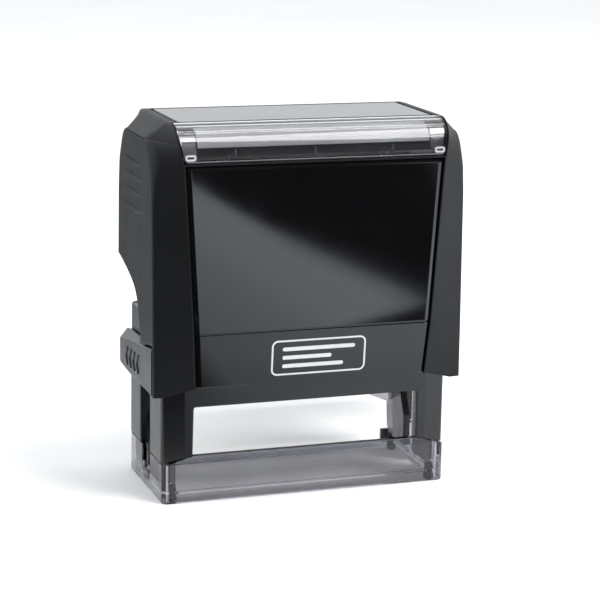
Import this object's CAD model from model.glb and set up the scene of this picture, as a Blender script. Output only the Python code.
import math

import bmesh
import bpy
from mathutils import Matrix, Vector


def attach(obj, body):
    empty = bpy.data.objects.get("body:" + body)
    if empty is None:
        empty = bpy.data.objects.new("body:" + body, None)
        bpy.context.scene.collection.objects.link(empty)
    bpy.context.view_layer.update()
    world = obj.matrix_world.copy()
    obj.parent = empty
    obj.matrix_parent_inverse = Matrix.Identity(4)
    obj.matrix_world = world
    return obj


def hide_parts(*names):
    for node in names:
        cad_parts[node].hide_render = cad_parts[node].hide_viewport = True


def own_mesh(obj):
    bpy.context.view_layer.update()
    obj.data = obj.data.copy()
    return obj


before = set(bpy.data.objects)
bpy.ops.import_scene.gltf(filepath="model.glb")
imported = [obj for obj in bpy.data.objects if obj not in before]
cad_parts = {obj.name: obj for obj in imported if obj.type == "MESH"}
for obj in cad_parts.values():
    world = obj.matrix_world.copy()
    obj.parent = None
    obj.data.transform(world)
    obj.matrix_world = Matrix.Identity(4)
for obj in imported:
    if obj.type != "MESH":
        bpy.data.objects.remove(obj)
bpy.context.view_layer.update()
scene = bpy.context.scene
pi = math.pi

# Everything is built in millimetres and scaled to metres as each piece is finished.
# +X right, +Y rear, +Z up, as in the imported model.


# ---------------------------------------------------------------- mesh helpers
def rpoly(pts, n=5):
    """An outline whose corners are rounded: each point is (a, b) or (a, b, radius)."""
    out = []
    m = len(pts)
    for i, p in enumerate(pts):
        r = p[2] if len(p) > 2 else 0
        c0 = Vector(p[:2])
        if r <= 0:
            out.append((c0.x, c0.y))
            continue
        a, b = Vector(pts[i - 1][:2]), Vector(pts[(i + 1) % m][:2])
        u, v = (a - c0).normalized(), (b - c0).normalized()
        ang = u.angle(v)
        if ang > pi - 0.01:
            out += [(c0.x, c0.y)]
            continue
        t = min(r / math.tan(ang / 2), (a - c0).length * 0.49, (b - c0).length * 0.49)
        rr = t * math.tan(ang / 2)
        c = c0 + (u + v).normalized() * (rr / math.sin(ang / 2))
        p0, p1 = c0 + u * t - c, c0 + v * t - c
        s0, s1 = math.atan2(p0.y, p0.x), math.atan2(p1.y, p1.x)
        d = (s1 - s0 + pi) % (2 * pi) - pi
        for k in range(n + 1):
            s = s0 + d * k / n
            out.append((c.x + rr * math.cos(s), c.y + rr * math.sin(s)))
    return out


def ccw(poly):
    area = sum(poly[i - 1][0] * p[1] - p[0] * poly[i - 1][1] for i, p in enumerate(poly))
    return list(poly) if area > 0 else list(reversed(poly))


def offset(poly, d):
    """Moves a counter-clockwise outline outwards by d."""
    if abs(d) < 1e-9:
        return list(poly)
    m, out = len(poly), []
    for i in range(m):
        a, b, c = Vector(poly[i - 1]), Vector(poly[i]), Vector(poly[(i + 1) % m])
        e, f = (b - a).normalized(), (c - b).normalized()
        n1, n2 = Vector((e.y, -e.x)), Vector((f.y, -f.x))
        n = n1 + n2
        n = n.normalized() if n.length > 1e-6 else n1
        out.append(tuple(b + n * (d / max(n.dot(n1), 0.4))))
    return out


def ends(a, b, ra=0.0, rb=0.0, n=3):
    """Levels of a solid from a to b whose two end faces are rounded over."""
    out = []
    for k in range(n + 1 if ra else 1):
        t = k / n * pi / 2 if ra else 0
        out.append((a + ra * (1 - math.cos(t)), -ra * (1 - math.sin(t)) if ra else 0))
    for k in range(n + 1 if rb else 1):
        t = pi / 2 * (1 - k / n) if rb else 0
        out.append((b - rb * (1 - math.cos(t)), -rb * (1 - math.sin(t)) if rb else 0))
    return out


def flare(lo, hi, lo_face=None, hi_face=None, r=0.3, n=3):
    """Levels of a cutter from lo to hi that rounds the edge it leaves in the faces at lo_face and hi_face."""
    out = []
    if lo_face is None:
        out.append((lo, 0.0))
    else:
        out.append((lo, r))
        for k in range(n + 1):
            f = pi / 2 * k / n
            out.append((lo_face + r - r * math.cos(f), r - r * math.sin(f)))
    if hi_face is None:
        out.append((hi, 0.0))
    else:
        for k in range(n + 1):
            f = pi / 2 * (1 - k / n)
            out.append((hi_face - r + r * math.cos(f), r - r * math.sin(f)))
        out.append((hi, r))
    return out


def mesh_object(name, verts, faces):
    me = bpy.data.meshes.new(name)
    me.from_pydata([tuple(v) for v in verts], [], faces)
    me.update()
    ob = bpy.data.objects.new(name, me)
    scene.collection.objects.link(ob)
    outward(ob)
    return ob


def outward(ob):
    bm = bmesh.new()
    bm.from_mesh(ob.data)
    bmesh.ops.recalc_face_normals(bm, faces=bm.faces)
    bm.to_mesh(ob.data)
    bm.free()


def loft(name, rings, cap=True):
    n = len(rings[0])
    verts = [p for ring in rings for p in ring]
    faces = []
    for r in range(len(rings) - 1):
        for i in range(n):
            a, b = r * n + i, r * n + (i + 1) % n
            faces.append((a, b, b + n, a + n))
    if cap:
        faces.append(tuple(reversed(range(n))))
        faces.append(tuple((len(rings) - 1) * n + i for i in range(n)))
    return mesh_object(name, verts, faces)


PLACE = {"x": lambda a, b, c: (c, a, b), "y": lambda a, b, c: (a, c, b), "z": lambda a, b, c: (a, b, c)}


def prism(name, poly, axis, levels):
    """An outline carried along an axis. Outline is (y, z) along x, (x, z) along y and (x, y) along z."""
    poly = ccw(poly)
    put = PLACE[axis]
    return loft(name, [[put(a, b, c) for a, b in offset(poly, d)] for c, d in levels])


def rect(a0, a1, b0, b1, r=0.0):
    return [(a0, b0, r), (a1, b0, r), (a1, b1, r), (a0, b1, r)]


def block(name, x0, x1, y0, y1, z0, z1, r=0.0, axis="z", edge=0.0, n=3):
    """A box with rounded corners along one axis and rounded ends."""
    if axis == "z":
        return prism(name, rpoly(rect(x0, x1, y0, y1, r), n), "z", ends(z0, z1, edge, edge, n))
    if axis == "y":
        return prism(name, rpoly(rect(x0, x1, z0, z1, r), n), "y", ends(y0, y1, edge, edge, n))
    return prism(name, rpoly(rect(y0, y1, z0, z1, r), n), "x", ends(x0, x1, edge, edge, n))


def lathe(name, profile, centre, axis="z", n=40):
    """profile is (radius, height) from one end to the other; the ends are closed."""
    rings = []
    for r, h in profile:
        ring = []
        for k in range(n):
            a = 2 * pi * k / n
            c, s = r * math.cos(a), r * math.sin(a)
            ring.append((centre[0] + c, centre[1] + s, h) if axis == "z" else (h, centre[1] + c, centre[2] + s))
        rings.append(ring)
    return loft(name, rings)


def bake(ob):
    bpy.context.view_layer.update()
    dg = bpy.context.evaluated_depsgraph_get()
    me = bpy.data.meshes.new_from_object(ob.evaluated_get(dg))
    ob.modifiers.clear()
    old, ob.data = ob.data, me
    bpy.data.meshes.remove(old)


def boolean(ob, others, op="DIFFERENCE"):
    for c in others:
        m = ob.modifiers.new("cut", "BOOLEAN")
        m.operation, m.solver, m.object = op, "EXACT", c
    bake(ob)
    for c in others:
        bpy.data.objects.remove(c)
    return ob


def cut(ob, *others):
    return boolean(ob, others)


def fuse(ob, *others):
    return boolean(ob, others, "UNION")


def join(ob, *others):
    """Puts separate closed shells into one mesh."""
    bm = bmesh.new()
    bm.from_mesh(ob.data)
    for o in others:
        bm.from_mesh(o.data)
    bm.to_mesh(ob.data)
    bm.free()
    for o in others:
        bpy.data.objects.remove(o)
    return ob


def bevel(ob, width, where=None, segments=2, angle=35):
    """Rounds the sharp edges that where(midpoint) picks."""
    bm = bmesh.new()
    bm.from_mesh(ob.data)
    bmesh.ops.remove_doubles(bm, verts=bm.verts, dist=0.004)
    picked = []
    for e in bm.edges:
        if len(e.link_faces) != 2 or e.calc_length() < 0.02:
            continue
        if e.calc_face_angle(0) < math.radians(angle):
            continue
        mid = (e.verts[0].co + e.verts[1].co) / 2
        if where is None or where(mid):
            picked.append(e)
    bmesh.ops.bevel(bm, geom=picked, offset=width, offset_type="OFFSET", segments=segments, profile=0.5, affect="EDGES", clamp_overlap=True)
    bm.to_mesh(ob.data)
    bm.free()
    return ob


def done(ob, body, material, nodes=(), angle=32, weighted=True):
    bm = bmesh.new()
    bm.from_mesh(ob.data)
    bmesh.ops.remove_doubles(bm, verts=bm.verts, dist=0.002)
    bmesh.ops.dissolve_degenerate(bm, edges=bm.edges, dist=0.001)
    bmesh.ops.recalc_face_normals(bm, faces=bm.faces)
    bmesh.ops.scale(bm, vec=(0.001, 0.001, 0.001), verts=bm.verts)
    bm.to_mesh(ob.data)
    bm.free()
    me = ob.data
    me.materials.clear()
    me.materials.append(material)
    me.shade_smooth()
    me.set_sharp_from_angle(angle=math.radians(angle))
    if weighted:
        m = ob.modifiers.new("normals", "WEIGHTED_NORMAL")
        m.keep_sharp, m.weight = True, 80
        bake(ob)
    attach(ob, body)
    if nodes:
        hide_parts(*nodes)
    return ob


def lerp(rows, z, k):
    if z <= rows[0][0]:
        return rows[0][k]
    for a, b in zip(rows, rows[1:]):
        if z <= b[0]:
            return a[k] + (b[k] - a[k]) * (z - a[0]) / (b[0] - a[0])
    return rows[-1][k]


def spline(pts, n=6):
    """A smooth curve through the points."""
    out = []
    for i in range(len(pts) - 1):
        p0, p1, p2 = pts[max(i - 1, 0)], pts[i], pts[i + 1]
        p3 = pts[min(i + 2, len(pts) - 1)]
        for k in range(n):
            t = k / n
            out.append(tuple(
                0.5 * (2 * b + (c - a) * t + (2 * a - 5 * b + 4 * c - d) * t * t + (3 * b - a - 3 * c + d) * t ** 3)
                for a, b, c, d in zip(p0, p1, p2, p3)))
    out.append(tuple(pts[-1]))
    return out


# ---------------------------------------------------------------- materials
def new_material(name):
    mat = bpy.data.materials.new(name)
    mat.use_nodes = True
    nt = mat.node_tree
    return mat, nt, nt.nodes["Principled BSDF"]


def noise(nt, scale, detail=3.0, rough=0.5, stretch=None):
    tc = nt.nodes.new("ShaderNodeTexCoord")
    n = nt.nodes.new("ShaderNodeTexNoise")
    n.inputs["Scale"].default_value = scale
    n.inputs["Detail"].default_value = detail
    n.inputs["Roughness"].default_value = rough
    if stretch:
        m = nt.nodes.new("ShaderNodeMapping")
        m.inputs["Scale"].default_value = stretch
        nt.links.new(tc.outputs["Object"], m.inputs["Vector"])
        nt.links.new(m.outputs["Vector"], n.inputs["Vector"])
    else:
        nt.links.new(tc.outputs["Object"], n.inputs["Vector"])
    return n


def ramp(nt, source, lo, hi, p0=0.3, p1=0.7):
    r = nt.nodes.new("ShaderNodeValToRGB")
    r.color_ramp.elements[0].position, r.color_ramp.elements[1].position = p0, p1
    r.color_ramp.elements[0].color = (*lo, 1)
    r.color_ramp.elements[1].color = (*hi, 1)
    nt.links.new(source, r.inputs["Fac"])
    return r


def spread(nt, source, lo, hi):
    m = nt.nodes.new("ShaderNodeMapRange")
    m.inputs["From Min"].default_value, m.inputs["From Max"].default_value = 0.3, 0.7
    m.inputs["To Min"].default_value, m.inputs["To Max"].default_value = lo, hi
    nt.links.new(source, m.inputs["Value"])
    return m


def grained(name, lo, hi, rough, grain=2600.0, depth=0.00002, strength=0.25, spec=0.5, cloud=45.0, detail=4.0, coat=0.0):
    """Moulded plastic or rubber: a slow drift of colour and gloss, with a fine spark-eroded grain."""
    mat, nt, bsdf = new_material(name)
    slow = noise(nt, cloud, 4.0, 0.55)
    nt.links.new(ramp(nt, slow.outputs["Fac"], lo, hi).outputs["Color"], bsdf.inputs["Base Color"])
    wear = noise(nt, cloud * 3.1, 5.0, 0.6)
    nt.links.new(spread(nt, wear.outputs["Fac"], rough[0], rough[1]).outputs["Result"], bsdf.inputs["Roughness"])
    fine = noise(nt, grain, detail, 0.6)
    b = nt.nodes.new("ShaderNodeBump")
    b.inputs["Strength"].default_value = strength
    b.inputs["Distance"].default_value = depth
    nt.links.new(fine.outputs["Fac"], b.inputs["Height"])
    nt.links.new(b.outputs["Normal"], bsdf.inputs["Normal"])
    bsdf.inputs["Specular IOR Level"].default_value = spec
    bsdf.inputs["Coat Weight"].default_value = coat
    bsdf.inputs["Coat Roughness"].default_value = 0.05
    return mat


def clear(name, tint_lo, tint_hi, rough=(0.0, 0.03), ior=1.49, ripple=160.0, depth=0.00001):
    """Clear moulded plastic with a faint flow ripple."""
    mat, nt, bsdf = new_material(name)
    slow = noise(nt, 60.0, 3.0, 0.5)
    nt.links.new(ramp(nt, slow.outputs["Fac"], tint_lo, tint_hi).outputs["Color"], bsdf.inputs["Base Color"])
    haze = noise(nt, 220.0, 4.0, 0.6)
    nt.links.new(spread(nt, haze.outputs["Fac"], rough[0], rough[1]).outputs["Result"], bsdf.inputs["Roughness"])
    wave = noise(nt, ripple, 2.0, 0.4)
    b = nt.nodes.new("ShaderNodeBump")
    b.inputs["Strength"].default_value = 0.15
    b.inputs["Distance"].default_value = depth
    nt.links.new(wave.outputs["Fac"], b.inputs["Height"])
    nt.links.new(b.outputs["Normal"], bsdf.inputs["Normal"])
    bsdf.inputs["Transmission Weight"].default_value = 1.0
    bsdf.inputs["IOR"].default_value = ior
    return mat


M = {
    "shell": grained("shell_black_satin", (0.0048, 0.0054, 0.0066), (0.0066, 0.0072, 0.0086), (0.48, 0.56), 2400, 0.00003, 0.3, 0.36),
    "frame": grained("frame_black_satin", (0.0078, 0.0084, 0.0100), (0.0104, 0.0110, 0.0128), (0.26, 0.33), 2600, 0.00002, 0.2),
    "block": grained("block_dark_satin", (0.0180, 0.0188, 0.0210), (0.0215, 0.0225, 0.0250), (0.27, 0.35), 2600, 0.00002, 0.2),
    "panel": grained("panel_gloss_black", (0.0035, 0.0035, 0.004), (0.0048, 0.0048, 0.0055), (0.035, 0.06), 500, 0.000004, 0.05, 0.5, 30.0, 2.0),
    "roof": grained("roof_gloss_dark", (0.035, 0.037, 0.040), (0.043, 0.045, 0.048), (0.13, 0.17), 900, 0.000006, 0.1),
    "clear": clear("skirt_clear_smoke", (0.42, 0.42, 0.455), (0.48, 0.48, 0.515)),
    "arch": clear("arch_clear_smoke", (0.34, 0.34, 0.37), (0.40, 0.40, 0.43), (0.10, 0.22)),
    "window": clear("window_clear", (0.93, 0.93, 0.945), (0.97, 0.97, 0.98), (0.0, 0.02), depth=0.000002),
    "card": grained("index_card_silver", (0.31, 0.31, 0.325), (0.37, 0.37, 0.385), (0.32, 0.42), 1400, 0.00002, 0.2),
    "tab": grained("window_tab_light", (0.50, 0.50, 0.53), (0.60, 0.60, 0.63), (0.10, 0.2), 900, 0.00001, 0.1),
    "tick": grained("seat_tick_grey", (0.10, 0.10, 0.11), (0.13, 0.13, 0.14), (0.25, 0.35)),
    "skin": grained("window_tab_grey", (0.13, 0.13, 0.14), (0.20, 0.20, 0.21), (0.2, 0.3), 900, 0.00001, 0.1),
    "seat": grained("seat_grey", (0.028, 0.029, 0.034), (0.036, 0.037, 0.043), (0.25, 0.35)),
    "mech": grained("mechanism_grey", (0.035, 0.036, 0.040), (0.045, 0.046, 0.050), (0.38, 0.5), 1800),
    "tray": grained("cartridge_black", (0.020, 0.020, 0.022), (0.028, 0.028, 0.031), (0.35, 0.45), 2200),
    "rubber": grained("die_rubber_red", (0.20, 0.055, 0.045), (0.27, 0.075, 0.06), (0.65, 0.8), 1800, 0.00005, 0.5),
    "foot": grained("foot_rubber", (0.012, 0.012, 0.013), (0.020, 0.020, 0.022), (0.6, 0.75), 1500, 0.00005, 0.5),
    "print": grained("print_silver", (0.70, 0.70, 0.72), (0.80, 0.80, 0.82), (0.35, 0.5), 2500, 0.00001, 0.1),
}

# ink pad: an open foam soaked with dark ink
mat, nt, bsdf = new_material("pad_felt_ink")
f1 = noise(nt, 700.0, 6.0, 0.7)
nt.links.new(ramp(nt, f1.outputs["Fac"], (0.006, 0.007, 0.016), (0.030, 0.032, 0.055)).outputs["Color"], bsdf.inputs["Base Color"])
vor = nt.nodes.new("ShaderNodeTexVoronoi")
vor.inputs["Scale"].default_value = 2600.0
tc = nt.nodes.new("ShaderNodeTexCoord")
nt.links.new(tc.outputs["Object"], vor.inputs["Vector"])
b = nt.nodes.new("ShaderNodeBump")
b.inputs["Strength"].default_value, b.inputs["Distance"].default_value = 0.8, 0.00012
nt.links.new(vor.outputs["Distance"], b.inputs["Height"])
nt.links.new(b.outputs["Normal"], bsdf.inputs["Normal"])
nt.links.new(spread(nt, f1.outputs["Fac"], 0.75, 0.95).outputs["Result"], bsdf.inputs["Roughness"])
bsdf.inputs["Sheen Weight"].default_value = 0.3
M["felt"] = mat

# drawn spring steel: fine lines along the wire
mat, nt, bsdf = new_material("spring_steel_drawn")
f1 = noise(nt, 900.0, 5.0, 0.6, (0.4, 0.4, 3.0))
nt.links.new(ramp(nt, f1.outputs["Fac"], (0.42, 0.42, 0.43), (0.62, 0.62, 0.63)).outputs["Color"], bsdf.inputs["Base Color"])
nt.links.new(spread(nt, f1.outputs["Fac"], 0.22, 0.38).outputs["Result"], bsdf.inputs["Roughness"])
b = nt.nodes.new("ShaderNodeBump")
b.inputs["Strength"].default_value, b.inputs["Distance"].default_value = 0.3, 0.00001
nt.links.new(f1.outputs["Fac"], b.inputs["Height"])
nt.links.new(b.outputs["Normal"], bsdf.inputs["Normal"])
bsdf.inputs["Metallic"].default_value = 1.0
M["steel"] = mat


# ---------------------------------------------------------------- clear base skirt
skirt = prism("base_skirt_clear", rpoly(rect(-38, 38, -16.3, 16.3, 1.5), 6), "z", ends(0, 12.2, 0.35, 0.15))
cuts = [
    prism("c", rpoly(rect(-36.5, 36.5, -14.8, 14.8, 0.8), 4), "z", flare(-1, 20, 0.0, None, 0.25)),
    block("c", -50, 50, -14.8, 50, 10, 20),
    prism("c", [(-50, 8.9 - 2.2), (-42, 8.9), (-30, 12.2), (30, 12.2), (42, 8.9), (50, 6.7), (50, 30), (-50, 30)], "y", [(-30, 0), (0, 0)]),
    block("c", -35.8, 35.8, 12, 30, 1.6, 20),
]
slot_u = [(3.75, 20), (-3.75, 20)] + [(3.75 * math.cos(pi + pi * k / 12), 5.5 + 3.75 * math.sin(pi + pi * k / 12)) for k in range(13)]
slot_u = [(a + 0.0, b) for a, b in slot_u]
cuts.append(prism("c", slot_u, "x", flare(-50, 0, -38, None, 0.3)))
cuts.append(prism("c", slot_u, "x", flare(0, 50, None, 38, 0.3)))
cut(skirt, *cuts)
ledge = prism("c", rpoly(rect(-36.7, 36.7, -15.0, 15.0, 0.8), 3), "z", ends(2.3, 2.9, 0, 0.15))
cut(ledge, prism("c", rpoly(rect(-34.9, 34.9, -13.95, 13.95, 0.6), 3), "z", [(0, 0), (5, 0)]),
    block("c", -34.95, 34.95, 12, 30, 1.6, 20), prism("c", slot_u, "x", [(-50, 0), (50, 0)]))
fuse(skirt, ledge)
cut(skirt, *[lathe("c", [(1.6, -1), (1.6, 4)], (kx * 34.9, ky * 13.2, 0), n=24) for kx in (-1, 1) for ky in (-1, 1)])
done(skirt, "frame", M["clear"], ["base_skirt"])

for side, k in (("left", -1), ("right", 1)):
    lug = block("locating_lug_" + side, k * 34 - 1.3, k * 34 + 1.3, 14.9, 16.1, 1.7, 5.2, 0.3, "y", 0.2)
    fuse(lug, block("c", k * 34 - 0.5, k * 34 + 0.5, 14.6, 15.2, 1.8, 4.4, 0.2, "y", 0.1))
    done(lug, "frame", M["skin"])

for name, kx, ky in (("foot_front_left", -1, -1), ("foot_front_right", 1, -1), ("foot_rear_left", -1, 1), ("foot_rear_right", 1, 1)):
    foot = lathe(name + "_rubber", [(0.7, 0.0), (1.05, 0.06), (1.25, 0.35), (1.25, 1.4), (1.12, 1.55), (1.12, 1.75), (1.2, 1.9), (1.0, 4.15), (0.8, 4.4)], (kx * 34.9, ky * 13.2, 0), n=28)
    done(foot, "frame", M["foot"], [name])

# ---------------------------------------------------------------- inner frame
outer = [(-38, -14.9, 1.2), (-32.4, -16.25, 2.0), (-31, -16.28)]
outer += [(x, -16.3 - 0.45 * (1 - (x / 30) ** 2)) for x in (-30, -24, -18, -12, -6, 0, 6, 12, 18, 24, 30)]
outer += [(31, -16.28), (32.4, -16.25, 2.0), (38, -14.9, 1.2), (38, 16.3, 1.2), (-38, 16.3, 1.2)]
body = prism("inner_frame_body", rpoly(outer, 6), "z", ends(10.3, 47.6, 0.15, 0.4))
cut(body, prism("c", rpoly(rect(-36.2, 36.2, -14.8, 14.8, 0.6), 3), "z", [(0, 0), (60, 0)]))
deck = [block("c", -37, 37, -15.5, 5, 45.6, 47.6, 0.3, "z", 0.0), block("c", -34.4, 34.4, 4, 14.5, 45.6, 47.6, 0.8, "z", 0.2)]
liners = []
for k in (-1, 1):
    x0, x1 = sorted((k * 34.7, k * 36.5))
    liners.append(block("c", x0, x1, -11.6, 11.6, 4.2, 38.0, 0.6, "x", 0.2))
    liners.append(block("c", x0, x1, -15.2, 14.45, 37.2, 39.05, 0.2, "x", 0.0))
fuse(body, *deck, *liners)
run = [(3.0, 0), (-3.0, 0)] + [(-3.0 * math.cos(pi * k / 12), 33.8 + 3.0 * math.sin(pi * k / 12)) for k in range(13)]
half, left, right = 1.55, [], []
for i in range(-1, 24):
    s = min(max(i / 22, 0), 1)
    th = pi * s
    y, z = 4.2 * math.sin(th), 33.6 - 28 * s - 4.2 * math.cos(th) + (half if i < 0 else -half if i > 22 else 0)
    dy, dz = 4.2 * pi * math.cos(th), -28 + 4.2 * pi * math.sin(th)
    ln = math.hypot(dy, dz)
    left.append((y - half * dz / ln, z + half * dy / ln))
    right.append((y + half * dz / ln, z - half * dy / ln))
track = right + left[::-1]
side_top = rpoly([(5, 45.3, 0.5), (14.5, 45.3, 0.6), (14.5, 38.1, 0.4), (20, 38.1), (20, 60), (5, 60)], 4)
slot_o = rpoly([(-3.7, -5), (5.7, -5), (5.7, 37.6, 0.6), (-3.7, 37.6, 0.6)], 4)
window_o = rpoly([(-30.4, 0), (30.4, 0), (29.9, 24.7, 0.5), (-29.9, 24.7, 0.5)], 4)
cut(body,
    prism("c", side_top, "x", [(-50, 0), (50, 0)]),
    prism("c", slot_o, "x", flare(-50, -36.2, -38, None, 0.35)),
    prism("c", slot_o, "x", flare(36.2, 50, None, 38, 0.35)),
    prism("c", run, "x", [(-37.2, 0), (-33.7, 0)]), prism("c", run, "x", [(33.7, 0), (37.2, 0)]),
    prism("c", track, "x", [(-37.2, 0), (-33.7, 0)]), prism("c", track, "x", [(33.7, 0), (37.2, 0)]),
    prism("c", [(-50, 0), (50, 0), (50, 7), (30, 12.5), (-30, 12.5), (-50, 7)], "y", [(-40, 0), (-14.5, 0)]),
    prism("c", window_o, "y", flare(-30, -11, -16.3, None, 0.45)),
    prism("c", rpoly([(-36.2, 5), (36.2, 5), (36.2, 25, 1.0), (-36.2, 25, 1.0)], 4), "y", [(14.0, 0), (30, 0)]),
    )
done(body, "frame", M["frame"], ["inner_frame"])

# smoke-clear cheeks over the inner guides
for side, k in (("left", -1), ("right", 1)):
    x0, x1 = sorted((k * 34.3, k * 34.64))
    cheek = block("inner_cheek_clear_" + side, x0, x1, -14.4, 14.3, 4.4, 24.6, 0.5, "x", 0.08)
    cut(cheek, prism("c", track, "x", [(x0 - 0.5, 0), (x1 + 0.5, 0)]), prism("c", run, "x", [(x0 - 0.5, 0), (x1 + 0.5, 0)]))
    done(cheek, "frame", M["arch"])

# smoke-clear rear arch, with its two legs and gussets
arch_o = [(-35.7, 5.5), (-34.8, 5.5, 0.3), (-34.5, 13.0, 0.8), (-29.0, 15.3), (-17, 22.0, 1.5), (17, 22.0, 1.5), (29.0, 15.3), (34.5, 13.0, 0.8),
          (34.8, 5.5, 0.3), (35.7, 5.5), (35.7, 10.1), (36.1, 10.3), (36.1, 25.0), (-36.1, 25.0), (-36.1, 10.3), (-35.7, 10.1)]
arch = prism("rear_arch_clear", rpoly(arch_o, 4), "y", ends(14.9, 16.2, 0.2, 0.2))
done(arch, "frame", M["arch"])

# ---------------------------------------------------------------- springs and their guides
for side, k in (("left", -1), ("right", 1)):
    x = 22 * k
    guide = lathe("spring_guide_%s_post" % side, [(5.2, 47.9), (5.6, 48.1), (5.6, 48.9), (5.4, 49.1), (3.3, 49.1), (2.95, 49.45), (2.35, 59.2), (2.0, 59.8), (1.2, 60.0)], (x, 0, 0), n=40)
    done(guide, "frame", M["mech"], ["spring_guide_" + side])
    turns, rings, steps, wr = 10, [], 10 * 28, 0.45
    z0, z1 = 49.98, 91.22
    for i in range(steps + 1):
        t = i / steps * turns
        # closed turns at both ends, an even pitch between them
        if t < 1:
            z = z0 + 0.95 * t * t * 0.5 + 0.475 * t
        elif t > turns - 1:
            u = turns - t
            z = z1 - (0.95 * u * u * 0.5 + 0.475 * u)
        else:
            z = z0 + 0.95 + (z1 - z0 - 1.9) * (t - 1) / (turns - 2)
        a = 2 * pi * t
        c = Vector((x + 4.0 * math.cos(a), 4.0 * math.sin(a), z))
        out = Vector((math.cos(a), math.sin(a), 0))
        rings.append([tuple(c + out * wr * math.cos(2 * pi * j / 8) + Vector((0, 0, wr * math.sin(2 * pi * j / 8)))) for j in range(8)])
    spring = loft("return_spring_%s_coil" % side, rings)
    done(spring, "frame", M["steel"], ["return_spring_" + side], angle=50, weighted=False)
    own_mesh(spring)

# ---------------------------------------------------------------- cap shell
ROWS = [[28.5, 41, 18.2, 30.8, 19.3], [30.3, 41, 18.15, 30.9, 19.4], [44.2, 41, 17.7, 31.8, 20.55],
        [60, 41, 17.15, 32.6, 20.6], [82.7, 41, 16.4, 33.85, 20.6], [85.9, 41, 15.9, 34.15, 20.6], [87.6, 41, 15.3, 34.2, 20.45]]


XI = [[28.5, 30.8], [30.3, 30.9], [44.2, 31.65], [63, 32.6], [78, 33.6], [85.9, 34.15], [87.6, 34.35], [89.4, 34.7], [92, 35.2], [93.5, 35.4], [95.9, 35.6]]


def shell_row(z):
    if z <= 91.3:
        hw = 41.0
    elif z <= 91.9:
        t = (z - 91.3) / 0.6
        hw = 41.0 - 0.35 * t * t
    elif z <= 95.2:
        hw = 40.65 - (z - 91.9) * 1.19
    else:
        t = (z - 95.2) / 0.7
        hw = 36.72 - 0.85 * t - 0.6 * t ** 3
    if z <= 82.7:
        yf = lerp(ROWS, z, 2)
    elif z <= 91.6:
        yf = 9.1 + 7.3 * math.sqrt(max(0, 1 - ((z - 82.7) / 8.9) ** 2))
    else:
        yf = 9.1 + (z - 91.6) * 0.45
    if z <= 87.6:
        yi = lerp(ROWS, z, 4)
    else:
        yi = 12.7 + 7.75 * math.sqrt(max(0, 1 - ((z - 87.6) / 8.35) ** 2))
    return hw, yf, min(lerp(XI, z, 1), hw - 0.35), yi


def shell_ring(z):
    hw, yf, xi, yi = shell_row(z)
    t = min(max((z - 79) / 11, 0), 1)
    rc = 0.9 + 5.2 * t * t * (3 - 2 * t)
    r2 = 0.45
    return [(a, b, z) for a, b in rpoly([(hw, -yf, rc), (hw, yf, rc), (xi, yi, r2), (-xi, yi, r2), (-hw, yf, rc), (-hw, -yf, rc), (-xi, -yi, r2), (xi, -yi, r2)], 8)]


levels = [28.5, 28.7, 29.3, 30.3, 37, 44.2, 46, 53, 60, 68, 76, 82.7, 83.5, 84.3, 85.1, 85.9, 86.7, 87.6, 88.2, 88.8, 89.4, 90.0, 90.5, 90.9, 91.2,
          91.4, 91.6, 91.8, 92.0, 92.4, 92.9, 93.4, 93.9, 94.4, 94.8, 95.1, 95.3, 95.5, 95.65, 95.78, 95.87]
shell = loft("cap_shell_body", [shell_ring(z) for z in levels])
INNER = [[20, 39, 16.75, 30.8, 17.0], [30.3, 39, 16.75, 30.8, 17.0], [44.2, 39, 16.7, 31.4, 17.9],
         [60, 39, 16.6, 32.3, 17.9], [76.5, 39, 16.5, 32.6, 17.9], [80, 39, 15.9, 32.8, 17.9],
         [84, 39, 14.6, 33.0, 17.8], [86.2, 39, 13.8, 33.0, 17.3], [88.8, 39, 12.4, 33.0, 16.5],
         [90.2, 38.9, 10.6, 32.8, 15.8], [91.4, 38.4, 8.4, 32.4, 13.6], [92.2, 37.6, 7.8, 32, 11.6]]
cavity = loft("c", [[(a, b, z) for a, b in rpoly([(hw, -yf, 0.8), (hw, yf, 0.8), (xi, yi, 0.8), (-xi, yi, 0.8), (-hw, yf, 0.8), (-hw, -yf, 0.8), (-xi, -yi, 0.8), (xi, -yi, 0.8)], 3)]
                    for z, hw, yf, xi, yi in INNER])


def panel_half(z):
    return 30.1 + (33.4 - 30.1) * (z - 30.3) / (85.9 - 30.3)


def recess_ring(z, w, floor):
    return [(-w, -40, z), (-w, floor - 0.3, z), (-w + 0.3, floor, z), (w - 0.3, floor, z), (w, floor - 0.3, z), (w, -40, z)]


recess = loft("c", [recess_ring(10, 30.45, -17.7), recess_ring(30.3, 30.45, -17.7), recess_ring(44.2, panel_half(44.2) + 0.35, -18.85), recess_ring(86.25, panel_half(86.25) + 0.35, -18.85)])
rear_recess = prism("c", rpoly([(-31.9, 60, 0.8), (31.9, 60, 0.8), (33.55, 85.4, 0.8), (-33.55, 85.4, 0.8)], 4), "y", flare(18.85, 40, None, 20.6, 0.25))
window_gap = loft("c", [[(-g, -40, z), (g, -40, z), (g, -12.7, z), (-g, -12.7, z)] for z, g in ((86.7, 34.0), (87.6, 34.12), (89.4, 34.47), (92, 34.97), (93.5, 35.17), (98, 35.4))])
roof_gap = block("c", -33.8, 33.8, -12.8, 12.8, 94.4, 120, 0.6, "z")
under = prism("c", [(-60, 0), (60, 0), (60, 28.5), (38, 28.5), (31.2, 30.3), (-31.2, 30.3), (-38, 28.5), (-60, 28.5)], "y", [(-40, 0), (40, 0)])
curve = spline([(16.6, 57.8), (13.2, 56.95), (9.6, 55.9), (6.3, 54.85), (3.1, 53.6), (0.3, 52.0), (-1.8, 49.7), (-3.0, 47.2), (-3.8, 45.0), (-4.7, 42.2)], 3)
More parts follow.
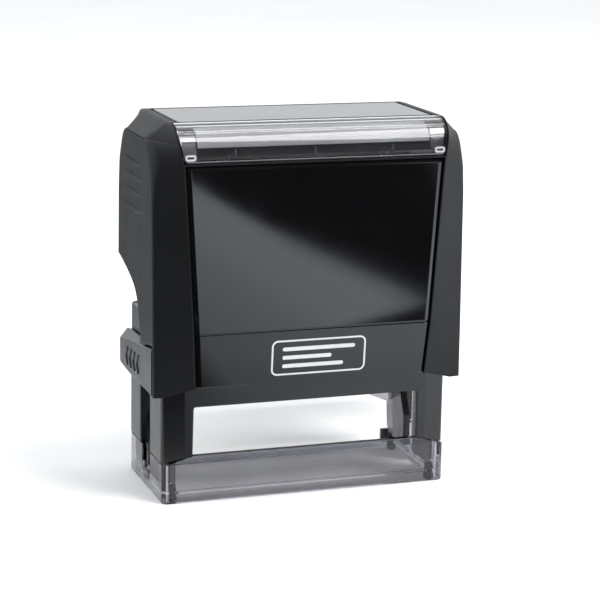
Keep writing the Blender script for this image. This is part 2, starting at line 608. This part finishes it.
away = [(-16.6, 0), (40, 0), (40, 57.8)] + curve + [(-5.5, 39.5), (-16.4, 41.2), (-16.6, 41.2)]
side_cut = prism("c", away, "x", flare(-60, 60, -41, 41, 0.75, 4))
cutters = [cavity, recess, rear_recess, window_gap, roof_gap, under, side_cut]


def scoop(z, y0, y1, k):
    """A lens-shaped finger groove: straight along its top, deepest there, with a rising floor below."""
    rings = []
    yc, hy, n = (y0 + y1) / 2, (y1 - y0) / 2 + 0.6, 18
    for i in range(n + 1):
        t = -math.cos(pi * i / n)
        w = max(0.0, 1 - t * t) ** 0.85
        h, d = 0.03 + 1.6 * w, 0.01 + 1.15 * w
        y, top = yc + hy * t, z + 1.0
        rings.append([(k * x, y, zz) for x, zz in ((42, top), (41, top), (41 - d, top - 0.12 * w), (41 - d * 0.93, top - 0.3 * h), (41 - d * 0.5, top - 0.72 * h), (41, top - h), (42, top - h))])
    return loft("c", rings)


for gz, gy0, gy1 in ((84.2, -6.5, 8.4), (80.6, -9.6, 9.9), (76.7, -9.9, 10.1), (72.5, -9.9, 10.1)):
    for k in (-1, 1):
        cutters.append(scoop(gz, gy0, gy1, k))
for k in (-1, 1):
    x0, x1 = sorted((k * 40.72, k * 43))
    cutters.append(block("c", x0, x1, -9.3, 9.3, 91.48, 91.72))
cut(shell, *cutters)
done(shell, "cap", M["shell"], ["cap_shell"], angle=30)


# ---------------------------------------------------------------- front and rear panels
def panel_ring(z, w, face, back, edge=1.0, drop=0.42):
    return [(-w, back, z), (-w, face + drop, z), (-w + 0.12, face + drop - 0.1, z), (-w + edge, face + 0.02, z), (-w + edge + 0.25, face, z),
            (w - edge - 0.25, face, z), (w - edge, face + 0.02, z), (w - 0.12, face + drop - 0.1, z), (w, face + drop, z), (w, back, z)]


def panel_face(z):
    return -20.4 if z >= 44.2 else -19.2 - 1.2 * (z - 30.3) / 13.9


rows = [(30.3, 0.35), (30.42, 0.12), (30.7, 0.0), (37, 0.0), (43.75, 0.0), (43.95, 0.04), (44.08, 0.3), (44.32, 0.3), (44.42, 0.05), (44.6, 0.0), (60, 0), (75, 0),
        (84.9, 0.0), (85.2, 0.03), (85.65, 0.25), (85.9, 0.45)]
panel = loft("front_panel_gloss", [panel_ring(z, panel_half(z), panel_face(z) + d, panel_face(z) + 1.2) for z, d in rows])
done(panel, "cap", M["panel"], ["front_panel"], angle=20)

rear = prism("rear_panel_gloss", rpoly([(-31.55, 60.35, 0.8), (31.55, 60.35, 0.8), (33.2, 85.05, 0.8), (-33.2, 85.05, 0.8)], 4), "y", ends(19.2, 20.4, 0.0, 0.3))
done(rear, "cap", M["panel"], ["rear_panel"])


# plain printed frame with three bars in the lower zone
def on_label(x, z, lift):
    n = Vector((0, -13.9, -1.2)).normalized()
    return tuple(Vector((x, panel_face(z), z)) + n * lift)


def label_shape(name, poly, inner=None):
    poly = ccw(poly)
    lo = [on_label(a, b, -0.02) for a, b in poly]
    hi = [on_label(a, b, 0.035) for a, b in poly]
    if inner is None:
        return loft(name, [lo, hi])
    inner = ccw(inner)
    ilo = [on_label(a, b, -0.02) for a, b in inner]
    ihi = [on_label(a, b, 0.035) for a, b in inner]
    n = len(poly)
    verts, faces = lo + hi + ihi + ilo, []
    for r in range(4):
        for i in range(n):
            a, b = r * n + i, r * n + (i + 1) % n
            c, d = ((r + 1) % 4) * n + (i + 1) % n, ((r + 1) % 4) * n + i
            faces.append((a, b, c, d))
    return mesh_object(name, verts, faces)


cx, cz = 1.5, 37.0
mark = label_shape("printed_frame", rpoly(rect(cx - 12.5, cx + 12.5, cz - 4.6, cz + 4.6, 1.6), 6), rpoly(rect(cx - 12.05, cx + 12.05, cz - 4.15, cz + 4.15, 1.15), 6))
bars = [label_shape("c", rpoly(rect(cx - 9.6, cx - 9.6 + w, cz + dz - 0.5, cz + dz + 0.5, 0.45), 4)) for dz, w in ((2.2, 19.2), (0.0, 13.0), (-2.2, 16.2))]
join(mark, *bars)
done(mark, "cap", M["print"], weighted=False)

# ---------------------------------------------------------------- roof
roof = prism("roof_plate_gloss", rpoly(rect(-33.1, 33.1, -12.2, 12.35, 0.7), 5), "z", ends(94.7, 95.9, 0.0, 0.3))
done(roof, "cap", M["roof"], ["roof_plate"])


# ---------------------------------------------------------------- index window
def curve_point(t, d):
    a = t * pi / 2
    nx, nz = math.cos(a) / 7.7, math.sin(a) / 8.3
    ln = math.hypot(nx, nz)
    return (-(12.7 + 7.7 * math.cos(a)) + d * nx / ln, 87.6 + 8.3 * math.sin(a) - d * nz / ln)


def strip(d0, d1, t0, t1, n=26):
    """Outline in (y, z) of a band between two depths under the window's curve."""
    a = [curve_point(t0 + (t1 - t0) * k / n, d0) for k in range(n + 1)]
    b = [curve_point(t0 + (t1 - t0) * k / n, d1) for k in range(n + 1)]
    return a + b[::-1]


def window_half(z):
    return lerp([[87.0, 33.7], [87.6, 33.8], [89.4, 34.15], [92, 34.65], [93.5, 34.85], [96, 35.0]], z, 1)


def curved(name, d0, d1, t0, t1, x0=None, x1=None, n=30, c=0.15, foot=None, side=0.0):
    """A band under the window's curve. Its ends lie at x0 and x1, or follow the shell's flanks less side."""
    rings = []
    rows = [(curve_point(t0 + (t1 - t0) * k / n, d0), curve_point(t0 + (t1 - t0) * k / n, d1)) for k in range(n + 1)]
    if foot:
        rows[0] = foot
    for (ya, za), (yb, zb) in rows:
        w = window_half(max(za, zb)) - side
        lo, hi = (-w if x0 is None else x0), (w if x1 is None else x1)
        if x0 is not None and x0 < 0 and x1 is not None and x1 < 0:
            lo = -w
        if x0 is not None and x0 > 0:
            hi = w
        dy, dz = yb - ya, zb - za
        ln = math.hypot(dy, dz)
        dy, dz = dy / ln * c, dz / ln * c
        rings.append([(lo + c, ya, za), (hi - c, ya, za), (hi, ya + dy, za + dz), (hi, yb - dy, zb - dz),
                      (hi - c, yb, zb), (lo + c, yb, zb), (lo, yb - dy, zb - dz), (lo, ya + dy, za + dz)])
    return loft(name, rings)


window = curved("index_window_clear", 0.0, 1.2, 0.0, 0.94, foot=((-20.4, 87.05), (-19.2, 87.05)))
done(window, "window", M["window"], ["index_window"], angle=25)

card = curved("index_card_strip", 1.5, 1.8, 0.25, 0.9, -30.2, 30.2, c=0.04)
for v in card.data.vertices:
    v.co.x = max(-30.2, min(30.2, v.co.x))
done(card, "cap", M["card"], ["index_card"], angle=25)

seat = curved("window_seat_body", 2.15, 3.2, 0.04, 0.94, side=0.1)
ticks = [curved("c", 2.05, 2.4, 0.05, 0.21, x - 0.25, x + 0.25, n=5, c=0.05) for x in (-20.5, 0.0, 20.5)]
done(seat, "cap", M["seat"], ["window_seat"], angle=25)
for i, o in enumerate(ticks):
    xs = (-20.5, 0.0, 20.5)[i]
    for v in o.data.vertices:
        v.co.x = max(xs - 0.25, min(xs + 0.25, v.co.x))
join(ticks[0], *ticks[1:])
ticks[0].name = "window_seat_ticks"
done(ticks[0], "cap", M["tick"], angle=25, weighted=False)

# light lip along the window's lower edge
lip = prism("window_lip", rpoly([(-20.54, 87.08, 0.08), (-20.3, 87.08), (-20.3, 87.34), (-20.54, 87.34, 0.08)], 4), "x", ends(-33.3, 33.3, 0.1, 0.1))
done(lip, "window", M["skin"], weighted=False)

# moulded end tabs under the window, with a ringed slot at the foot of each
for side, k in (("left", -1), ("right", 1)):
    x0, x1 = sorted((k * 30.5, k * 33.9))
    tab = curved("window_tab_" + side, 1.3, 2.1, 0.40, 0.53, x0, x1, n=10, c=0.1, side=0.15)
    notch = curved("window_tab_notch_" + side, 1.3, 2.1, 0.54, 0.62, x0, x1, n=6, c=0.08, side=0.15)
    done(notch, "window", M["tray"], angle=25, weighted=False)
    skin = curved("window_tab_skin_" + side, 1.75, 2.1, 0.06, 0.39, x0, x1, n=12, c=0.08, side=0.15)
    lo, hi = sorted((k * 31.0, k * 33.7))
    ring_o, ring_i = ccw(rpoly(rect(lo, hi, 87.5, 89.0, 0.6), 6)), ccw(rpoly(rect(lo + 0.48, hi - 0.48, 87.98, 88.52, 0.25), 6))
    n = len(ring_o)
    rr = [[(a, y, b) for a, b in poly] for poly, y in ((ring_o, -20.28), (ring_o, -20.5), (ring_i, -20.5), (ring_i, -20.28))]
    verts = [p for q in rr for p in q]
    faces = [(r * n + i, r * n + (i + 1) % n, ((r + 1) % 4) * n + (i + 1) % n, ((r + 1) % 4) * n + i) for r in range(4) for i in range(n)]
    join(tab, mesh_object("c", verts, faces))
    done(tab, "window", M["tab"], angle=25, weighted=False)
    done(skin, "window", M["skin"], angle=25, weighted=False)

# ---------------------------------------------------------------- axle blocks and pins
AX = [[-16.2, 41, 40.6, 40.5, 28.6], [-11, 41, 39.95, 39.8, 28.6], [-5.5, 41, 39.25, 39.0, 28.6], [0, 41, 39.15, 38.35, 28.6], [5, 41, 39.1, 37.7, 28.65],
      [10, 41, 39.05, 36.75, 28.9], [14.0, 41, 39.0, 36.0, 29.2], [15.4, 40.95, 38.85, 35.8, 29.35], [16.3, 40.75, 38.7, 35.7, 29.55], [16.9, 40.4, 38.5, 35.75, 29.75], [17.25, 39.9, 38.2, 35.85, 30.0]]
for side, k in (("left", -1), ("right", 1)):
    rings = []
    for y, x1, zi, zo, zb in AX:
        sec = rpoly([(38.3, zb, 0.3), (x1, zb, 0.45), (x1, zo, 0.6), (38.3, zi, 0.3)], 4)
        rings.append([(k * a, y, b) for a, b in sec])
    ax = loft("axle_block_%s_body" % side, rings)
    hub = lathe("c", [(3.1, k * 36.8), (3.3, k * 37.0), (3.3, k * 38.7)], (0, 0, 33.6), "x", 40)
    fuse(ax, hub)
    cut(ax, lathe("c", [(2.3, k * 39.8), (2.3, k * 30)], (0, 0, 33.6), "x", 36))
    # plain moulded chevrons on the outer face
    for j, yy in enumerate((-3.2, 0.4, 4.0, 7.6)):
        zc, hh = 33.4 - 0.12 * j, 2.5
        pts = [(yy - 0.9, zc - hh), (yy + 0.3, zc - hh), (yy + 1.9, zc), (yy + 0.3, zc + hh), (yy - 0.9, zc + hh), (yy + 0.7, zc)]
        fuse(ax, prism("c", rpoly([(a, b, 0.25) for a, b in pts], 3), "x",
                       [(-41.32, -0.2), (-41.2, 0.0), (-40.6, 0.12)] if k < 0 else [(40.6, 0.12), (41.2, 0.0), (41.32, -0.2)]))
    done(ax, "cap", M["block"], ["axle_block_" + side])
    pin = lathe("axle_pin_%s_steel" % side, [(1.7, k * 32.2), (2.0, k * 32.5), (2.0, k * 39.1), (1.85, k * 39.4), (0.6, k * 39.5)], (0, 0, 33.6), "x", 36)
    done(pin, "cap", M["steel"], ["axle_pin_" + side])

# ---------------------------------------------------------------- die
carrier = block("die_carrier_body", -33, 33, -9, 9, 31.2, 34.2, 0.8, "z", 0.3)
parts = [block("c", -29, 29, y - 0.6, y + 0.6, 29.6, 31.6, 0.3, "z", 0.2) for y in (-5, 5)]
for k in (-1, 1):
    parts.append(lathe("c", [(4.1, k * 31.0), (4.4, k * 31.3), (4.4, k * 33.9), (4.1, k * 34.2)], (0, 0, 33.6), "x", 40))
    parts.append(lathe("c", [(2.4, k * 31.0), (2.6, k * 31.2), (2.6, k * 34.0), (2.4, k * 34.2)], (0, 0, 29.4), "x", 28))
    parts.append(lathe("c", [(1.2, k * 33.5), (1.2, k * 35.8), (1.0, k * 36.0)], (0, 0, 29.4), "x", 24))
fuse(carrier, *parts)
cut(carrier, *[lathe("c", [(2.3, k * 40), (2.3, k * 31.7)], (0, 0, 33.6), "x", 36) for k in (-1, 1)],
    *[block("c", x - 4.2, x + 4.2, -3.6, 3.6, 28, 32.4, 0.8, "z") for x in (-20, -10, 0, 10, 20)])
done(carrier, "die", M["mech"], ["die_carrier"])

plate = block("die_plate_body", -30.4, 30.4, -12.0, 12.0, 34.5, 35.3, 0.8, "z", 0.1)
fuse(plate, block("c", -30.2, 30.2, -11.2, 11.2, 35.0, 35.9, 0.6, "z", 0.15))
done(plate, "die", M["tray"], ["die_plate"])

rub = block("rubber_die_face", -29.5, 29.5, -11.5, 11.5, 36.2, 37.6, 0.5, "z", 0.1)
rim = prism("c", rpoly(rect(-29.4, 29.4, -11.4, 11.4, 0.5), 4), "z", ends(37.4, 38.6, 0.0, 0.12, 2))
cut(rim, prism("c", rpoly(rect(-28.3, 28.3, -10.3, 10.3, 0.5), 4), "z", [(30, 0), (40, 0)]))
raised = [rim] + [prism("c", rpoly(rect(-hx, hx, y - 1.3, y + 1.3, 0.4), 4), "z", [(37.4, 0.15), (38.5, 0.0), (38.6, -0.08)]) for hx, y in ((20, -6), (24, 0), (16, 6))]
fuse(rub, *raised)
done(rub, "die", M["rubber"], ["rubber_die"])

# ---------------------------------------------------------------- ink cartridge
tray = block("cartridge_tray_body", -35.9, 35.9, -14.4, 14.5, 39.4, 45.0, 0.8, "z", 0.25)
cut(tray, block("c", -31, 31, -12.7, 12.7, 0, 42.6, 0.8, "z"),
    *[prism("c", rpoly(rect(a, b, -11.8, 11.8, 1.0), 4), "z", flare(43.8, 60, None, 45.0, 0.25)) for a, b in ((-33, -12), (-10, 10), (12, 33))])
done(tray, "cartridge", M["tray"], ["cartridge_tray"])

grip = block("cartridge_grip_body", -37.6, 37.6, 14.8, 16.3, 38.5, 45.3, 0.8, "y", 0.25)
ribs = [block("c", x - 1, x + 1, 15.8, 17.3, 39.3, 44.5, 0.6, "y", 0.35) for x in (-18, -12, -6, 0, 6, 12, 18)]
fuse(grip, *ribs)
done(grip, "cartridge", M["tray"], ["cartridge_grip"])

# ink pad: crowned foam, soft at its edges
pad_rings = []
nx, ny = 40, 18
verts, faces, index = [], [], {}
hx, hy, zt, zb, soft = 30.6, 12.3, 42.25, 39.62, 0.7


def pad_point(u, v, low):
    x, y = hx * u, hy * v
    dx, dy = hx - abs(x), hy - abs(y)
    e = min(dx, dy, soft) / soft
    fall = soft * (1 - math.sqrt(max(0.0, 1 - (1 - e) ** 2)))
    crown = 0.2 * (1 - u ** 4) * (1 - v ** 4)
    dimple = 0.02 * math.sin(x * 1.9) * math.sin(y * 2.3)
    return (x, y, (zb + fall - crown + dimple) if low else (zt - fall * 0.5))


def warp(i, n):
    s = i / n * 2 - 1
    return math.copysign(1 - (1 - abs(s)) ** 1.6, s) if abs(s) > 0 else 0.0


for low in (True, False):
    for j in range(ny + 1):
        for i in range(nx + 1):
            index[(low, i, j)] = len(verts)
            verts.append(pad_point(warp(i, nx), warp(j, ny), low))
for j in range(ny):
    for i in range(nx):
        faces.append((index[(True, i, j)], index[(True, i, j + 1)], index[(True, i + 1, j + 1)], index[(True, i + 1, j)]))
        faces.append((index[(False, i, j)], index[(False, i + 1, j)], index[(False, i + 1, j + 1)], index[(False, i, j + 1)]))
rim_ids = [(i, 0) for i in range(nx)] + [(nx, j) for j in range(ny)] + [(nx - i, ny) for i in range(nx)] + [(0, ny - j) for j in range(ny)]
for a, b in zip(rim_ids, rim_ids[1:] + rim_ids[:1]):
    faces.append((index[(True, *a)], index[(True, *b)], index[(False, *b)], index[(False, *a)]))
pad = mesh_object("ink_pad_foam", verts, faces)
done(pad, "cartridge", M["felt"], ["ink_pad"], angle=60, weighted=False)

# ---------------------------------------------------------------- camera
az, el, roll = math.radians(-19.25), math.radians(13.02), math.radians(1.0589)
back = Vector((math.sin(az) * math.cos(el), -math.cos(az) * math.cos(el), math.sin(el)))
right0 = (-back).cross(Vector((0, 0, 1))).normalized()
up0 = right0.cross(-back)
r2 = right0 * math.cos(roll) + up0 * math.sin(roll)
u2 = -right0 * math.sin(roll) + up0 * math.cos(roll)
cam_data = bpy.data.cameras.new("camera")
cam_data.sensor_width = 36.0
cam_data.lens = 2026.39 / 600 * 36
cam_data.clip_start, cam_data.clip_end = 0.01, 50
cam = bpy.data.objects.new("camera", cam_data)
scene.collection.objects.link(cam)
c0 = Vector((0.00315, 0, 0.04676)) + back * 0.5254
cam.matrix_world = Matrix(((r2.x, u2.x, back.x, c0.x), (r2.y, u2.y, back.y, c0.y), (r2.z, u2.z, back.z, c0.z), (0, 0, 0, 1)))
scene.camera = cam

# ---------------------------------------------------------------- floor, cards and light
mat, nt, bsdf = new_material("floor_white")
f1 = noise(nt, 9.0, 3.0, 0.5)
nt.links.new(ramp(nt, f1.outputs["Fac"], (0.86, 0.86, 0.86), (0.88, 0.88, 0.88)).outputs["Color"], bsdf.inputs["Base Color"])
bsdf.inputs["Roughness"].default_value = 0.9
bsdf.inputs["Specular IOR Level"].default_value = 0.2
bsdf.inputs["Emission Color"].default_value = (0.97, 0.985, 1.0, 1)
bsdf.inputs["Emission Strength"].default_value = 0.12
me = bpy.data.meshes.new("floor")
s = 6.0
me.from_pydata([(-s, -s, 0), (s, -s, 0), (s, s, 0), (-s, s, 0)], [], [(0, 1, 2, 3)])
floor = bpy.data.objects.new("floor", me)
scene.collection.objects.link(floor)
me.materials.append(mat)

# a small flag behind the stamp keeps the top light off the floor seen through the opening
mat, nt, bsdf = new_material("studio_flag")
bsdf.inputs["Base Color"].default_value = (0.25, 0.25, 0.25, 1)
bsdf.inputs["Roughness"].default_value = 0.9
me = bpy.data.meshes.new("studio_flag")
me.from_pydata([(-0.008, 0.026, 0.042), (0.066, 0.026, 0.042), (0.066, 0.06, 0.042), (-0.008, 0.06, 0.042)], [], [(0, 1, 2, 3)])
flag = bpy.data.objects.new("studio_flag", me)
scene.collection.objects.link(flag)
me.materials.append(mat)
flag.visible_camera = flag.visible_glossy = flag.visible_transmission = False

# a studio card lying in front: bright towards the middle, black to both sides, seen only in reflections
card_mat = bpy.data.materials.new("studio_card")
card_mat.use_nodes = True
nt = card_mat.node_tree
nt.nodes.clear()
attr = nt.nodes.new("ShaderNodeAttribute")
attr.attribute_name = "glow"
em = nt.nodes.new("ShaderNodeEmission")
em.inputs["Color"].default_value = (0.88, 0.945, 1.0, 1)
outn = nt.nodes.new("ShaderNodeOutputMaterial")
nt.links.new(attr.outputs["Fac"], em.inputs["Strength"])
nt.links.new(em.outputs["Emission"], outn.inputs["Surface"])
card_mat.cycles.emission_sampling = "NONE"

EDGE = [[-3.0, 0.105], [-0.532, 0.103], [-0.468, 0.1005], [-0.436, 0.099], [-0.405, 0.098], [-0.376, 0.099], [-0.348, 0.100], [-0.322, 0.102],
        [-0.297, 0.105], [-0.273, 0.107], [-0.251, 0.109], [-0.230, 0.110], [-0.211, 0.108], [-0.200, 0.098], [-0.190, 0.082], [-0.180, 0.066]]


def studio_card(name, ys, cols):
    verts, glow, faces = [], [], []
    for y in ys:
        row = cols(y)
        for x, g in row:
            verts.append((x, y, 0.0008))
            glow.append(g)
    n = len(cols(ys[0]))
    for j in range(len(ys) - 1):
        for i in range(n - 1):
            a = j * n + i
            faces.append((a, a + 1, a + n + 1, a + n))
    me = bpy.data.meshes.new(name)
    me.from_pydata(verts, [], faces)
    at = me.attributes.new("glow", "FLOAT", "POINT")
    at.data.foreach_set("value", glow)
    ob = bpy.data.objects.new(name, me)
    scene.collection.objects.link(ob)
    me.materials.append(card_mat)
    ob.visible_camera = ob.visible_diffuse = ob.visible_shadow = False
    ob.visible_transmission = ob.visible_volume_scatter = False


def front_cols(y):
    xb = lerp(EDGE, y, 1)
    s_ = 0.003 + 0.007 * min(max((y + 0.40) / 0.10, 0), 1)
    xr = max(0.063 + 0.349 * (-y - 0.02), xb + 3 * s_ + 0.002)
    return [(-3.0, 0.0), (-0.05, 0.0), (-0.022, 0.1), (0.0, 1.3), (0.03, 1.9), (0.055, 2.3), (0.07, 2.7), (xb - 1.3 * s_ - 0.0005, 2.9), (xb - 0.35 * s_, 2.1),
            (xb + 0.45 * s_, 0.55), (xb + 1.3 * s_, 0.10), (xb + 3 * s_, 0.0), (xr, 0.0), (xr + 0.06, 2.2), (4.0, 2.2)]


def near_cols(y):
    f = 1.0 - 0.35 * min(max((y + 0.10) / 0.05, 0), 1)
    return [(x, g * f) for x, g in ((-3.0, 0.0), (-0.03, 0.0), (-0.012, 0.1), (0.0, 1.35), (0.03, 1.8), (0.055, 1.95), (0.09, 2.1), (0.13, 2.3), (0.2, 2.7), (0.6, 2.7))]


studio_card("studio_card_front", [-3.0, -0.9, -0.532, -0.5, -0.468, -0.45, -0.436, -0.42, -0.405, -0.39, -0.376, -0.362, -0.348, -0.335, -0.322, -0.31, -0.297, -0.285, -0.273,
                                  -0.262, -0.251, -0.24, -0.230, -0.22, -0.211, -0.204, -0.200, -0.195, -0.190, -0.185, -0.180], front_cols)
studio_card("studio_card_near", [-0.179, -0.14, -0.10, -0.07, -0.045], near_cols)


def back_cols(y):
    g = 0.95 - 0.42 * min(max((y - 0.10) / 0.10, 0), 1)
    return [(-3.0, g), (-0.06, g), (-0.046, g)]


studio_card("studio_card_back", [0.03, 0.10, 0.15, 0.20, 3.0], back_cols)

world = bpy.data.worlds.new("studio")
scene.world = world
world.use_nodes = True
nt = world.node_tree
nt.nodes.clear()
tc = nt.nodes.new("ShaderNodeTexCoord")
sep = nt.nodes.new("ShaderNodeSeparateXYZ")
nt.links.new(tc.outputs["Generated"], sep.inputs["Vector"])


def maprange(src, a, b, c, d):
    m = nt.nodes.new("ShaderNodeMapRange")
    m.interpolation_type = "SMOOTHSTEP"
    for key, val in (("From Min", a), ("From Max", b), ("To Min", c), ("To Max", d)):
        m.inputs[key].default_value = val
    nt.links.new(src, m.inputs["Value"])
    return m.outputs["Result"]


def maths(op, a, b):
    m = nt.nodes.new("ShaderNodeMath")
    m.operation = op
    for s_, v in zip(m.inputs, (a, b)):
        if isinstance(v, float):
            s_.default_value = v
        else:
            nt.links.new(v, s_)
    return m.outputs[0]


front = maprange(sep.outputs["Y"], -0.45, -0.05, 1.0, 0.0)
low = maprange(sep.outputs["Z"], 0.70, 0.97, 1.0, 0.0)
dark = maths("MULTIPLY", front, low)
level = maths("SUBTRACT", 1.0, maths("MULTIPLY", dark, 0.93))
lum = maths("MULTIPLY", level, 1.15)
bg_light = nt.nodes.new("ShaderNodeBackground")
bg_light.inputs["Color"].default_value = (0.955, 0.98, 1.0, 1)
nt.links.new(lum, bg_light.inputs["Strength"])
bg_cam = nt.nodes.new("ShaderNodeBackground")
bg_cam.inputs["Color"].default_value = (1, 1, 1, 1)
bg_cam.inputs["Strength"].default_value = 1.05
lp = nt.nodes.new("ShaderNodeLightPath")
mix = nt.nodes.new("ShaderNodeMixShader")
outn = nt.nodes.new("ShaderNodeOutputWorld")
nt.links.new(lp.outputs["Is Camera Ray"], mix.inputs["Fac"])
nt.links.new(bg_light.outputs["Background"], mix.inputs[1])
nt.links.new(bg_cam.outputs["Background"], mix.inputs[2])
nt.links.new(mix.outputs["Shader"], outn.inputs["Surface"])


def area(name, at, to, size, power, size_y=None):
    li = bpy.data.lights.new(name, "AREA")
    li.shape = "RECTANGLE"
    li.size, li.size_y = size, size_y or size
    li.energy = power
    ob = bpy.data.objects.new(name, li)
    scene.collection.objects.link(ob)
    ob.location = at
    ob.rotation_mode = "QUATERNION"
    ob.rotation_quaternion = (Vector(to) - Vector(at)).to_track_quat("-Z", "Y")
    ob.visible_camera = False
    return ob


key = area("key_right_front", (0.45, -0.45, 0.95), (0, 0, 0.03), 0.5, 11.0)
key.visible_glossy = False
area("top_strip", (0.0, 0.03, 1.1), (0, 0, 0.05), 1.2, 2.6, 0.09)

scene.view_settings.view_transform = "Standard"
scene.view_settings.look = "None"
scene.view_settings.exposure = 0.0
scene.view_settings.gamma = 1.0
